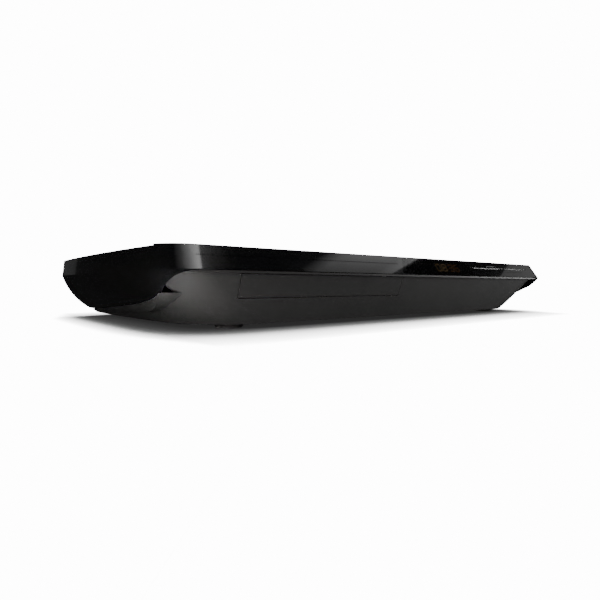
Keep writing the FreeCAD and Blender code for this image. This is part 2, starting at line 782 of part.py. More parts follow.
def sled_pinion():
    wheel = gear(sled_motor_x, sled_gear_depth, motor_top + 0.5, sled_module, pinion_teeth, 2.6,
                 math.pi + math.pi / pinion_teeth, 0.95)
    return on_drive(wheel.fuse(rod(sled_motor_x, sled_gear_depth, motor_top + 0.5, 0.96, 4.5)))


def sled_motor():
    can = rod(sled_motor_x, sled_gear_depth, 12, 6, 3.6)
    return on_drive(can.cut(rod(sled_motor_x, sled_gear_depth, 11, 1 + running, 3)))


bridge_low = frame_top


def clamp_bridge():
    bar = box(-wall_out, wall_out, disc_depth - 16, disc_depth + 16, bridge_low, bridge_low + plate)
    bar = bar.fuse(ring(0, disc_depth, bridge_low, 15, clamp_hole, 2.6))
    bar = bar.cut(rod(0, disc_depth, 0, clamp_hole, 60))
    for x in (-50, 50):
        bar = bar.fuse(box(x - 20, x + 20, disc_depth - 16, disc_depth - 14, bridge_low, bridge_low + 3.4))
        bar = bar.fuse(box(x - 20, x + 20, disc_depth + 14, disc_depth + 16, bridge_low, bridge_low + 3.4))
    for x, v in bridge_screw_places():
        bar = bar.cut(rod(x, v, 0, 1.0, 60))
    return on_drive(bar)


def bridge_screw_places():
    x = (wall_in + wall_out) / 2
    return [(s * x, disc_depth + t) for s in (-1, 1) for t in (-11, 11)]


def clamper():
    top = bridge_low + 2.6 + slack
    puck = rod(0, disc_depth, 27.2, 15.5, 3.2)
    neck = rod(0, disc_depth, 28, clamp_hole - 0.5, top - 27)
    cap = rod(0, disc_depth, top, 13.4, 1.2)
    body = puck.fuse(neck).fuse(cap)
    return on_drive(body.cut(rod(0, disc_depth, 27, 5.6, 1.4)).cut(rod(0, disc_depth, top - 2, 8, 9)))


def clamp_magnet():
    return on_drive(rod(0, disc_depth, bridge_low + 0.9, 8, 2.4))


# Boards: x and depth spans
board_margin = 3.5          # from the boards' rear edge to the casing's rear
main_span = (-8.0, 112.0, from_rear(121), from_rear(board_margin))
power_span = (118.0, 186.0, from_rear(155), from_rear(board_margin))


def board_sheet(span, holes):
    sheet = box(span[0], span[1], span[2], span[3], board_high, deck)
    for x, v in holes:
        sheet = sheet.cut(rod(x, v, 0, 1.6, 30))
    return sheet


def corners_of(span, inset=5.0):
    return [(x, v) for x in (span[0] + inset, span[1] - inset) for v in (span[2] + inset, span[3] - 22)]


def pillar_places():
    return corners_of(main_span) + corners_of(power_span)


def board_pillars():
    low = wall + steel
    return [ring(x, v, low, 3.2, 1.25, board_high - low) for x, v in pillar_places()]


def board_screws():
    screws = []
    for x, v in pillar_places():
        head = rod(x, v, deck, 2.9, 1.6).cut(box(x - 2.2, x + 2.2, v - 0.35, v + 0.35, deck + 0.8, deck + 3))
        screws.append(head.fuse(rod(x, v, deck - 5, 1.2, 5.2)))
    for x, v in frame_screw_places():
        screws.append(rod(drive_x + x, v, floor_top, 3.2, 1.6).fuse(
            rod(drive_x + x, v, wall + steel, 1.6, floor_top - wall - steel)))
    for x, v in bridge_screw_places():
        screws.append(rod(drive_x + x, v, bridge_low + plate, 2.0, 1.2).fuse(
            rod(drive_x + x, v, bridge_low + 0.05, 0.9, plate)))
    return screws


def loader_dampers():
    low = wall + steel
    return [ring(drive_x + x, v, low, 5, 1.75, frame_floor - low) for x, v in frame_screw_places()]


chip_x = 50.0
chip_depth = from_rear(71)
chip_width = 28.0
chip_thick = 2.0
sink_width = 38.0
sink_height = 13.0
sink_fins = 9
fin_thick = 2.0


def processor():
    half = chip_width / 2
    front = chip_depth - half
    chip = box(chip_x - half, chip_x + half, front, chip_depth + half, deck, deck + chip_thick)
    return chip.cut(rod(chip_x - half + 3, front + 3, deck + chip_thick - 0.2, 0.8, 1))


def heat_sink():
    half = sink_width / 2
    low = deck + chip_thick
    left = chip_x - half
    sink = box(left, left + sink_width, chip_depth - half, chip_depth + half, low, low + 2)
    for i in range(sink_fins):
        x = left + (sink_width - fin_thick) * i / (sink_fins - 1)
        sink = sink.fuse(box(x, x + fin_thick, chip_depth - half, chip_depth + half, low + 2,
                             low + sink_height))
    return sink


def memory_chips():
    starts = [(x, from_rear(back)) for x in (80, 92) for back in (89, 71)]
    return [box(x, x + 8, v, v + 12, deck, deck + 1.1) for x, v in starts]


def board_capacitors():
    places = [(2, 101), (12, 101), (22, 101), (80, 105), (90, 105), (100, 105), (6, 41), (16, 41)]
    caps = []
    for x, back in places:
        v = from_rear(back)
        can = rod(x, v, deck, 3.15, 8.5)
        caps.append(can.cut(ring(x, v, deck + 1.2, 5, 2.9, 0.5)).cut(box(x - 2, x + 2, v - 0.15, v + 0.15,
                                                                     deck + 8.2, deck + 9)))
    return caps


transformer_x = 148.0
can_x = 142.0
can_radius = 9.0
can_height = 27.0
choke_x = 168.0
choke_ring = 7.5            # radius of the choke's ring
choke_core = 3.2            # radius of its round section


def transformer():
    x = transformer_x
    front = from_rear(105)
    rear = front + 26
    core = box(x - 16, x + 16, front, rear, deck + 1, deck + 23)
    core = core.cut(box(x - 11, x + 11, front - 1, rear + 1, deck + 6, deck + 18))
    core = core.fuse(box(x - 4, x + 4, front, rear, deck + 2, deck + 20))
    coil = box(x - 10.8, x + 10.8, front - 4, rear + 4, deck, deck + 17.8)
    return core.fuse(coil)


def bulk_capacitor():
    v = from_rear(45)
    can = rod(can_x, v, deck, can_radius, can_height)
    can = can.cut(ring(can_x, v, deck + 2.6, can_radius + 3, can_radius - 0.5, 0.9))
    top = deck + can_height
    return can.cut(box(can_x - 6, can_x + 6, v - 0.2, v + 0.2, top - 0.3, top + 3))


def mains_choke():
    v = from_rear(45)
    core = Part.makeTorus(choke_ring, choke_core, Vector(choke_x, v, deck + choke_ring + choke_core),
                          Vector(0, 1, 0))
    return core.fuse(box(choke_x - 8, choke_x + 8, v - 3.5, v + 3.5, deck, deck + 2.5))


def heat_fin():
    rear = from_rear(123)
    left = power_span[0] + 8
    fin = box(left, left + 48, rear - fin_thick, rear, deck, deck + 24)
    for x in (left, left + 23, left + 46):
        fin = fin.fuse(box(x, x + fin_thick, rear - 8, rear, deck, deck + 24))
    return fin


def front_board():
    right = key_left + key_pitch * key_count + 10
    return slope_box(8, right, board_foot, 14.0, -front_board_back, -front_board_back + board)


def display_module():
    base = -front_board_back + board
    body = slope_box(display_left, display_right, board_foot, display_high, base, -band_skin - 0.6)
    return body.cut(slope_box(display_left + display_rim, display_right - display_rim, board_foot + 1,
                              display_high - 1, -band_skin - 1.0, 1))


def tact_switches():
    base = -front_board_back + board
    switches = []
    for x in key_starts():
        middle = x + key_width / 2
        y = (key_low + key_high) / 2
        body = slope_box(middle - 3, middle + 3, board_foot, y + 3, base, base + 3.2)
        switches.append(body.fuse(band_place(rod(middle, y, base + 3, 1.6, 0.8))))
    return switches


def key(x):
    base = -front_board_back + board
    y = (key_low + key_high) / 2
    cap = slope_box(x, x + key_width, key_low, key_high, -band_skin - 0.7, 0)
    flange = slope_box(x, x + key_width, key_low - 0.9, key_high + 0.9, -band_skin - 1.6, -band_skin - 0.4)
    middle = x + key_width / 2
    stem = slope_box(middle - 2, middle + 2, y - 1.1, y + 1.1, base + 3.2 + 0.6 + key_travel + 0.1,
                     -band_skin - 1.2)
    return cap.fuse(flange).fuse(stem)


def strip(points, thick, width, along, start):
    """A flat cable: a path in one plane given a thickness, pushed sideways."""
    upper = [(a, b + thick) for a, b in points]
    outline = points + upper[::-1]
    if along == "x":
        return prism([(start, a, b) for a, b in outline], (width, 0, 0))
    return prism([(a, start, b) for a, b in outline], (0, width, 0))


ribbon_thick = 0.5


def front_ribbon():
    front = main_span[2] + 1
    path = [(10.8, 30.0), (20, 24.5), (44, 16), (70, 12.6), (front + 1, deck + 2.2)]
    cable = strip(path, ribbon_thick, 14, "x", 86)
    return cable.fuse(box(84, 102, front, front + 5, deck, deck + 3.4))


def drive_flat_cable():
    right = drive_x + wall_out
    left = main_span[0]
    front = from_rear(77)
    path = [(right, 13), (right + 5, 15), (left + 4, deck + 3.5), (left + 6, deck + 2.2)]
    cable = strip(path, ribbon_thick, 22, "v", front)
    return cable.fuse(box(left + 3, left + 8, front - 1.5, front + 23.5, deck, deck + 3.2))


def supply_harness():
    front = from_rear(45)
    left = main_span[1] - 8
    right = power_span[0] + 2
    blocks = box(left, left + 6, front, front + 12, deck, deck + 4.5)
    blocks = blocks.fuse(box(right, right + 6, front, front + 12, deck, deck + 4.5))
    for i in range(4):
        blocks = blocks.fuse(rod(left + 4, front + 2.2 + 2.5 * i, deck + 3, 0.8, right - left - 2, (1, 0, 0)))
    return blocks


def thin_socket(x, width, height, depth, skin, tongue):
    """A metal shell open to the rear, with the contact tongue inside."""
    body = socket_block(x, width, height, depth)
    low = deck + skin
    high = deck + height - skin
    hollow = box(x - width / 2 + skin, x + width / 2 - skin, casing_depth - depth + 3, casing_depth + 1,
                 low, high)
    body = body.cut(hollow)
    if tongue:
        middle = (low + high) / 2
        body = body.fuse(box(x - width / 2 + 2, x + width / 2 - 2, casing_depth - depth + 2,
                             casing_depth - 1.2, middle - tongue / 2, middle + tongue / 2))
    return body


def lan_socket():
    body = thin_socket(lan_x, 16, 13.4, 18, 1.6, 0)
    for i in range(8):
        x = lan_x - 4.4 + 1.27 * i
        body = body.fuse(box(x - 0.25, x + 0.25, casing_depth - 16, casing_depth - 6, deck + 10.6, deck + 12))
    return body


def round_jack(x, rise):
    barrel = ring(x, casing_depth - 2, deck + rise, jack_radius, 3.3, jack_reach + 2, (0, 1, 0))
    core = ring(x, casing_depth - 2, deck + rise, 3.3, 1.6, jack_reach + 1.2, (0, 1, 0))
    return barrel.fuse(core)


def coax_jack():
    body = box(coax_x - 5, coax_x + 5, casing_depth - 14, casing_depth - steel - 0.2, deck, deck + 12.5)
    return body.cut(rod(coax_x, casing_depth - 9, deck + coax_rise, 1.6, 20, (0, 1, 0))).fuse(
        round_jack(coax_x, coax_rise))


def audio_jacks():
    body = box(audio_x - 6, audio_x + 6, casing_depth - 14, casing_depth - steel - 0.2, deck, deck + 25.2)
    for rise in audio_rise:
        body = body.cut(rod(audio_x, casing_depth - 9, deck + rise, 1.6, 20, (0, 1, 0)))
        body = body.fuse(round_jack(audio_x, rise))
    return body


def mains_inlet():
    middle = 21.5
    body = box(mains_x - 12, mains_x + 12, from_rear(16), casing_depth + 0.2, 15, 28)
    body = body.fuse(box(mains_x - 12, mains_x + 12, from_rear(16), from_rear(4), deck, 15))
    eye = 4.3                   # half the distance between the two contacts
    radius = 4.1
    hollow = box(mains_x - eye, mains_x + eye, casing_depth - 12, casing_depth + 1, middle - radius,
                 middle + radius)
    for sign in (-1, 1):
        hollow = hollow.fuse(rod(mains_x + sign * eye, casing_depth - 12, middle, radius, 13, (0, 1, 0)))
    body = body.cut(hollow)
    for sign in (-1, 1):
        body = body.fuse(rod(mains_x + sign * eye, casing_depth - 13, middle, 1.15, 11, (0, 1, 0)))
    return body


def save_casing():
    save("front_bezel", front_bezel())
    save("wing_left", glossy_side(-1))
    save("wing_right", glossy_side(1))
    save("display_lens", slope_prism(window(0), -lens_thick, 0))
    save("lower_body", lower_body())
    save("tray_fascia", tray_fascia())
    save("top_cover", top_cover())
    save("base_plate", base_plate())
    save("rubber_feet", *rubber_feet())
    save("rear_panel", rear_panel())
    save("rear_screws", *rear_screws())


def save_front():
    for name, x in zip(("standby_key", "tray_key", "play_key", "stop_key"), key_starts()):
        save(name, key(x))
    save("front_board", front_board())
    save("display_module", display_module())
    save("tact_switches", *tact_switches())


def save_boards():
    save("main_board", board_sheet(main_span, corners_of(main_span)))
    save("power_board", board_sheet(power_span, corners_of(power_span)))
    save("board_pillars", *board_pillars())
    save("inner_screws", *board_screws())
    save("memory_chips", *memory_chips())
    save("board_capacitors", *board_capacitors())
    for piece in (processor, heat_sink, transformer, bulk_capacitor, mains_choke, heat_fin, front_ribbon,
                  drive_flat_cable, supply_harness, lan_socket, coax_jack, audio_jacks, mains_inlet):
        save(piece.__name__, piece())
    save("usb_socket", thin_socket(usb_x, 14.4, 7.2, 14, 0.6, 1.9))
    save("hdmi_socket", thin_socket(hdmi_x, 15.4, 6.2, 12, 0.6, 1.0))


def save_drive():
    save("loader_dampers", *loader_dampers())
    save("guide_rods", *guide_rods())
    for piece in (loader_frame, disc_tray, loading_motor, motor_pulley, drive_belt, pulley_gear, tray_gear,
                  cam_slider, traverse_frame, spindle_motor, turntable, pickup_sled, objective_lens,
                  sled_motor, sled_pinion, sled_gear, clamp_bridge, clamper, clamp_magnet):
        save(piece.__name__, piece())


save_casing()
save_front()
save_boards()
save_drive()
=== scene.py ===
import bpy
import math
import random
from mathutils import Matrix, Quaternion, Vector


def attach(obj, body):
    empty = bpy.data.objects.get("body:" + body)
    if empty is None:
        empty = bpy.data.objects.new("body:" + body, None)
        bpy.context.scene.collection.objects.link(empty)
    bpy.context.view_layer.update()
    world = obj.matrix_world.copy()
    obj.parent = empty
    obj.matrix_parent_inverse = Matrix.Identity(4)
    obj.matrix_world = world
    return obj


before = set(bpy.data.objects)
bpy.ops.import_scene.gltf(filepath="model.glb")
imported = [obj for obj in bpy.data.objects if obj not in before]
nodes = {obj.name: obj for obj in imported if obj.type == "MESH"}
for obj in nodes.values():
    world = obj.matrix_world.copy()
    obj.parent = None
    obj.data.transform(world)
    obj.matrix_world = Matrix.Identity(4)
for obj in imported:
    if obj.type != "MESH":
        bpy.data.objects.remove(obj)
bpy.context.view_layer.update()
dice = random.Random(9)

# Sizes that the scene shares with the part, in millimetres
DEPTH_HALF = 112.25                 # half the overall depth, jacks included
FOOT = 3.0                          # how far the feet lift the casing
PROW = 32.2                         # height of the band's lower edge
SLOPE = math.atan2(13.8, 8.6)       # the band's rise over its run
DECK = 10.6                         # upper face of the boards
REAR = 217.0                        # outer face of the rear panel
DISC_X, DISC_V = -93, 80            # centre of the disc in the tray
TRANSFORMER_X = (137.1, 158.9)      # the coil's ends along x
TRANSFORMER_V = (112, 138)          # front and rear of the ferrite core
TRANSFORMER_HIGH = 17               # top of the coil over the deck


def at(x, v, h):
    """A point given as x, depth and height above the casing's underside, in metres of the frame."""
    return Vector((x / 1000, (v - DEPTH_HALF) / 1000, (h + FOOT) / 1000))


def on_band(x, y, z):
    """A point given on the front band's own slope: along, up the slope, outwards."""
    return at(x, y * math.cos(SLOPE) - z * math.sin(SLOPE), PROW + y * math.sin(SLOPE) + z * math.cos(SLOPE))


# Materials

class Tree:
    """A Principled material whose inputs are set or fed by name."""

    def __init__(self, name, **values):
        self.material = bpy.data.materials.new(name)
        self.material.use_nodes = True
        self.tree = self.material.node_tree
        self.shader = self.tree.nodes["Principled BSDF"]
        for key, value in values.items():
            socket = self.shader.inputs[key.replace("_", " ")]
            socket.default_value = tuple(value) + (1,) if isinstance(value, tuple) else value
        self.coords = self.tree.nodes.new("ShaderNodeTexCoord")

    def feed(self, source, target):
        self.tree.links.new(source, self.shader.inputs[target])

    def node(self, kind, links=(), **settings):
        made = self.tree.nodes.new(kind)
        for key, value in settings.items():
            if key in made.inputs:
                made.inputs[key].default_value = value
            else:
                setattr(made, key, value)
        for source, target in links:
            self.tree.links.new(source, made.inputs[target])
        return made

    def place(self, stretch=(1, 1, 1), turn=(0, 0, 0)):
        mapped = self.node("ShaderNodeMapping", [(self.coords.outputs["Object"], "Vector")])
        mapped.inputs["Scale"].default_value = stretch
        mapped.inputs["Rotation"].default_value = turn
        return mapped.outputs["Vector"]

    def noise(self, scale, detail=3.0, stretch=(1, 1, 1)):
        made = self.node("ShaderNodeTexNoise", [(self.place(stretch), "Vector")], Scale=scale, Detail=detail)
        return made.outputs["Fac"]

    def cells(self, scale, stretch=(1, 1, 1), **settings):
        return self.node("ShaderNodeTexVoronoi", [(self.place(stretch), "Vector")], Scale=scale, **settings)

    def waves(self, scale, turn=(0, 0, 0), **settings):
        return self.node("ShaderNodeTexWave", [(self.place(turn=turn), "Vector")], Scale=scale, **settings)

    def ramp(self, fac, low, high, a=0.35, b=0.65):
        made = self.node("ShaderNodeValToRGB", [(fac, "Fac")])
        first, last = made.color_ramp.elements
        first.position, last.position = a, b
        first.color = tuple(low) + (1,)
        last.color = tuple(high) + (1,)
        return made.outputs["Color"]

    def spread(self, fac, low, high, a=0.3, b=0.7):
        made = self.node("ShaderNodeMapRange", [(fac, "Value")])
        for key, value in (("From Min", a), ("From Max", b), ("To Min", low), ("To Max", high)):
            made.inputs[key].default_value = value
        return made.outputs["Result"]

    def calc(self, a, b, way="ADD"):
        made = self.node("ShaderNodeMath", operation=way)
        for i, item in enumerate((a, b)):
            if isinstance(item, (int, float)):
                made.inputs[i].default_value = item
            else:
                self.tree.links.new(item, made.inputs[i])
        return made.outputs[0]

    def weighted(self, *terms):
        """The sum of values, each given with its weight."""
        total = None
        for value, weight in terms:
            part = value if weight == 1 else self.calc(value, weight, "MULTIPLY")
            total = part if total is None else self.calc(total, part)
        return total

    def mix(self, fac, a, b):
        made = self.node("ShaderNodeMix", data_type="RGBA")
        for i, item in ((0, fac), (6, a), (7, b)):
            if isinstance(item, tuple):
                made.inputs[i].default_value = item + (1,)
            else:
                self.tree.links.new(item, made.inputs[i])
        return made.outputs[2]

    def shown_as(self, shader):
        """Puts another shader in the place of the Principled one."""
        self.tree.links.new(shader.outputs[0], self.tree.nodes["Material Output"].inputs["Surface"])

    def bump(self, height, strength, depth):
        made = self.node("ShaderNodeBump", [(height, "Height")], Strength=strength, Distance=depth)
        self.feed(made.outputs["Normal"], "Normal")

    def axis(self, source, letter):
        made = self.node("ShaderNodeSeparateXYZ", [(source, "Vector")])
        return made.outputs[letter]

    def facing(self, letter):
        geometry = self.node("ShaderNodeNewGeometry")
        return self.axis(geometry.outputs["Normal"], letter)


def finish(name, dark, light, rough, metal=0.0, blotch=90.0, grain=2600.0, lump=0.25, depth=0.00006,
           stretch=(1, 1, 1), **values):
    """An everyday surface: mottled colour, uneven roughness and a fine grain."""
    t = Tree(name, Metallic=metal, **values)
    broad = t.noise(blotch, 3, stretch)
    fine = t.noise(grain, 2, stretch)
    t.feed(t.ramp(t.weighted((broad, 0.7), (fine, 0.3)), dark, light), "Base Color")
    t.feed(t.spread(t.noise(blotch * 2.3, 4, stretch), *rough), "Roughness")
    t.bump(fine, lump, depth)
    return t


def gloss_black():
    """Polished black plastic under a clear coat, with a little haze and dust."""
    t = Tree("piano_black", Coat_Weight=1.0, Coat_Roughness=0.03, Coat_IOR=1.5, Specular_IOR_Level=0.25)
    haze = t.noise(38, 4)
    dust = t.cells(900.0, Randomness=1.0)
    specks = t.spread(dust.outputs["Distance"], 1.0, 0.0, 0.0, 0.035)
    t.feed(t.mix(specks, (0.0024, 0.0024, 0.0027), (0.03, 0.03, 0.03)), "Base Color")
    t.feed(t.spread(t.weighted((haze, 1), (specks, 0.5)), 0.09, 0.2), "Roughness")
    t.bump(t.noise(240, 1), 0.05, 0.00004)
    return t.material


def matte_dark():
    """Spark-eroded plastic: two grains over each other and a slow drift in tone."""
    t = Tree("spark_texture", Specular_IOR_Level=0.42)
    pits = t.cells(2300.0).outputs["Distance"]
    grain = t.weighted((pits, 0.6), (t.noise(4200, 3), 0.6))
    tone = t.weighted((t.noise(24, 4), 0.65), (grain, 0.35))
    t.feed(t.ramp(tone, (0.0200, 0.0196, 0.0192), (0.0270, 0.0263, 0.0257), 0.3, 0.7), "Base Color")
    t.feed(t.spread(grain, 0.42, 0.56), "Roughness")
    t.bump(grain, 0.35, 0.00005)
    return t.material


def smoked():
    """Dark clear plastic that lets only the lit segments through."""
    t = Tree("smoked_window", Transmission_Weight=0.97, IOR=1.5, Specular_IOR_Level=0.5)
    t.feed(t.ramp(t.noise(45, 3), (0.04, 0.038, 0.042), (0.055, 0.053, 0.058)), "Base Color")
    t.feed(t.spread(t.noise(300, 3), 0.03, 0.07), "Roughness")
    t.bump(t.noise(160, 1), 0.02, 0.00002)
    return t.material


def cover_paint():
    """Sheet steel under a fine wrinkle paint."""
    t = Tree("wrinkle_paint", Specular_IOR_Level=0.4)
    wrinkles = t.cells(1500.0, feature="SMOOTH_F1").outputs["Distance"]
    tone = t.weighted((t.noise(16, 5), 0.6), (wrinkles, 0.5))
    t.feed(t.ramp(tone, (0.011, 0.011, 0.0115), (0.02, 0.02, 0.021)), "Base Color")
    t.feed(t.spread(t.noise(900, 3), 0.36, 0.55), "Roughness")
    t.bump(wrinkles, 0.4, 0.00008)
    return t.material


def zinc_steel():
    """Galvanised sheet with its pale spangle."""
    t = Tree("galvanised", Metallic=1.0)
    shade = t.axis(t.cells(260.0).outputs["Color"], "X")
    t.feed(t.ramp(shade, (0.36, 0.37, 0.39), (0.58, 0.59, 0.60), 0.1, 0.9), "Base Color")
    t.feed(t.spread(t.calc(shade, t.noise(80, 4), "MULTIPLY"), 0.3, 0.55, 0.1, 0.6), "Roughness")
    t.bump(t.noise(1900, 2, (1, 0.15, 1)), 0.1, 0.00003)
    return t.material


def board_green():
    """Solder mask with tracks in two directions and plated holes."""
    t = Tree("solder_mask", Specular_IOR_Level=0.5, Coat_Weight=0.3, Coat_Roughness=0.15)
    tracks = []
    for turn in (0.0, math.pi / 2):
        wave = t.waves(210.0, (0, 0, turn), Distortion=2.6, Detail=0.0)
        wave.inputs["Detail Scale"].default_value = 0.35
        tracks.append(t.spread(wave.outputs["Fac"], 0.0, 1.0, 0.72, 0.78))
    patch = t.spread(t.noise(55, 0), 0, 1, 0.47, 0.48)
    copper = t.mix(patch, *(t.ramp(track, (0, 0, 0), (1, 1, 1)) for track in tracks))
    holes = t.cells(170.0, (1, 1, 0.001)).outputs["Distance"]
    pads = t.spread(holes, 1.0, 0.0, 0.1, 0.12)
    green = t.mix(copper, (0.006, 0.06, 0.022), (0.014, 0.125, 0.045))
    t.feed(t.mix(pads, green, (0.62, 0.58, 0.46)), "Base Color")
    t.feed(t.spread(t.noise(500, 3), 0.22, 0.36), "Roughness")
    t.bump(t.calc(t.axis(copper, "X"), pads), 0.3, 0.00004)
    return t.material


def can_sleeve():
    """Dark sleeve with a pale stripe around the can, bare aluminium on its top."""
    t = Tree("can_sleeve")
    top = t.spread(t.facing("Z"), 0, 1, 0.9, 0.94)
    sleeve = t.ramp(t.noise(700, 2), (0.008, 0.012, 0.04), (0.014, 0.02, 0.06))
    stripe = t.spread(t.facing("Y"), 0, 1, -0.86, -0.9)
    sleeve = t.mix(stripe, sleeve, (0.42, 0.44, 0.48))
    t.feed(t.mix(top, sleeve, (0.62, 0.62, 0.63)), "Base Color")
    t.feed(top, "Metallic")
    t.feed(t.spread(t.noise(400, 3), 0.28, 0.42), "Roughness")
    t.bump(t.noise(1500, 2), 0.08, 0.00003)
    return t.material


def ribbon_cable():
    """Pale flat cable, its conductors showing as stripes."""
    t = Tree("flat_cable", Specular_IOR_Level=0.5)
    lines = t.weighted((t.waves(165.0).outputs["Fac"], 1), (t.noise(900, 2), 0.15))
    t.feed(t.ramp(lines, (0.36, 0.37, 0.4), (0.72, 0.72, 0.7), 0.15, 0.5), "Base Color")
    t.feed(t.spread(t.noise(220, 3), 0.3, 0.45), "Roughness")
    t.bump(lines, 0.4, 0.0001)
    return t.material


def ferrite_and_tape():
    """Ferrite core, with tape over the coil between the transformer's two ends."""
    t = Tree("ferrite_and_tape", Specular_IOR_Level=0.45)
    x, y, z = (t.axis(t.coords.outputs["Object"], letter) for letter in "XYZ")
    low, high = (station / 1000 for station in TRANSFORMER_X)
    front, rear = ((station - DEPTH_HALF) / 1000 for station in TRANSFORMER_V)
    inside = t.calc(t.calc(x, low, "GREATER_THAN"), t.calc(x, high, "LESS_THAN"), "MULTIPLY")
    ends = t.calc(t.calc(t.calc(y, front, "LESS_THAN"), t.calc(y, rear, "GREATER_THAN")), 1.0, "MINIMUM")
    below = t.calc(z, (DECK + TRANSFORMER_HIGH + FOOT) / 1000, "LESS_THAN")
    coil = t.calc(inside, t.calc(ends, below, "MULTIPLY"), "MULTIPLY")
    wraps = t.waves(120.0, bands_direction="Z").outputs["Fac"]
    tape = t.ramp(wraps, (0.5, 0.33, 0.03), (0.62, 0.45, 0.06))
    core = t.ramp(t.noise(1200, 3), (0.02, 0.02, 0.021), (0.05, 0.048, 0.046))
    t.feed(t.mix(coil, core, tape), "Base Color")
    t.feed(t.spread(t.noise(300, 3), 0.35, 0.6), "Roughness")
    t.bump(t.noise(1600, 3), 0.3, 0.00008)
    return t.material


def brushed(name, dark, light, rough, way):
    """Metal with fine marks drawn out along one direction."""
    return finish(name, dark, light, rough, 1.0, 120, 900, 0.12, 0.00003, way).material


def glow(name, colour, strength):
    """A lit segment."""
    t = Tree(name, Roughness=0.4)
    t.shader.inputs["Base Color"].default_value = tuple(c * 0.4 for c in colour) + (1,)
    t.feed(t.ramp(t.noise(900, 2), tuple(c * 0.72 for c in colour), colour), "Emission Color")
    t.shader.inputs["Emission Strength"].default_value = strength
    return t.material


GLOSS = gloss_black()
MATTE = matte_dark()
PAINT = cover_paint()
ZINC = zinc_steel()
RUBBER = finish("rubber", (0.012, 0.012, 0.012), (0.024, 0.023, 0.022), (0.7, 0.9), 0.0, 140, 3200,
                0.4).material
MOULDED = finish("moulded_black", (0.016, 0.016, 0.018), (0.027, 0.027, 0.03), (0.38, 0.52), 0.0, 60, 2600,
                 0.3).material
ACETAL = finish("acetal", (0.66, 0.65, 0.6), (0.78, 0.77, 0.72), (0.34, 0.46), 0.0, 120, 2000, 0.1,
                Subsurface_Weight=0.15, Subsurface_Scale=0.001).material
EPOXY = finish("chip_epoxy", (0.014, 0.014, 0.015), (0.026, 0.026, 0.027), (0.45, 0.6), 0.0, 300, 5000,
               0.35).material
ALU = brushed("anodised", (0.46, 0.47, 0.48), (0.6, 0.61, 0.62), (0.3, 0.44), (1, 0.08, 1))
STEEL = brushed("ground_steel", (0.5, 0.5, 0.51), (0.7, 0.7, 0.71), (0.18, 0.34), (1, 1, 0.1))
PLATED = brushed("plated", (0.44, 0.44, 0.43), (0.64, 0.64, 0.62), (0.22, 0.4), (1, 0.2, 1))
GOLD = brushed("gold_contact", (0.7, 0.48, 0.16), (0.85, 0.62, 0.25), (0.18, 0.3), (1, 0.3, 1))
COPPER = brushed("enamelled_wire", (0.5, 0.16, 0.05), (0.68, 0.26, 0.09), (0.2, 0.34), (1, 1, 0.3))
MAGNET = brushed("magnet_plating", (0.22, 0.22, 0.23), (0.36, 0.36, 0.37), (0.3, 0.45), (1, 1, 1))
COATED = finish("coated_lens", (0.02, 0.03, 0.08), (0.06, 0.05, 0.16), (0.03, 0.09), 0.0, 200, 900, 0.02,
                Coat_Weight=1.0, Coat_Roughness=0.02, Coat_Tint=(0.6, 0.6, 1.0)).material

# Which material each node wears
worn = {
    GLOSS: "front_bezel wing_left wing_right standby_key tray_key play_key stop_key",
    smoked(): "display_lens",
    MATTE: "lower_body tray_fascia",
    PAINT: "top_cover rear_panel rear_screws",
    ZINC: "base_plate traverse_frame clamp_bridge",
    RUBBER: "rubber_feet loader_dampers drive_belt",
    board_green(): "front_board main_board power_board",
    MOULDED: "display_module mains_inlet loader_frame disc_tray turntable pickup_sled clamper",
    EPOXY: "tact_switches memory_chips processor",
    STEEL: "board_pillars inner_screws guide_rods loading_motor spindle_motor sled_motor",
    can_sleeve(): "board_capacitors bulk_capacitor",
    ALU: "heat_sink heat_fin",
    ferrite_and_tape(): "transformer mains_choke",
    ribbon_cable(): "front_ribbon drive_flat_cable",
    ACETAL: "supply_harness motor_pulley pulley_gear tray_gear cam_slider sled_pinion sled_gear",
    PLATED: "lan_socket usb_socket hdmi_socket coax_jack audio_jacks",
    COATED: "objective_lens",
    MAGNET: "clamp_magnet",
}
for material, names in worn.items():
    for name in names.split():
        data = nodes[name].data
        data.materials.clear()
        data.materials.append(material)


# Pieces

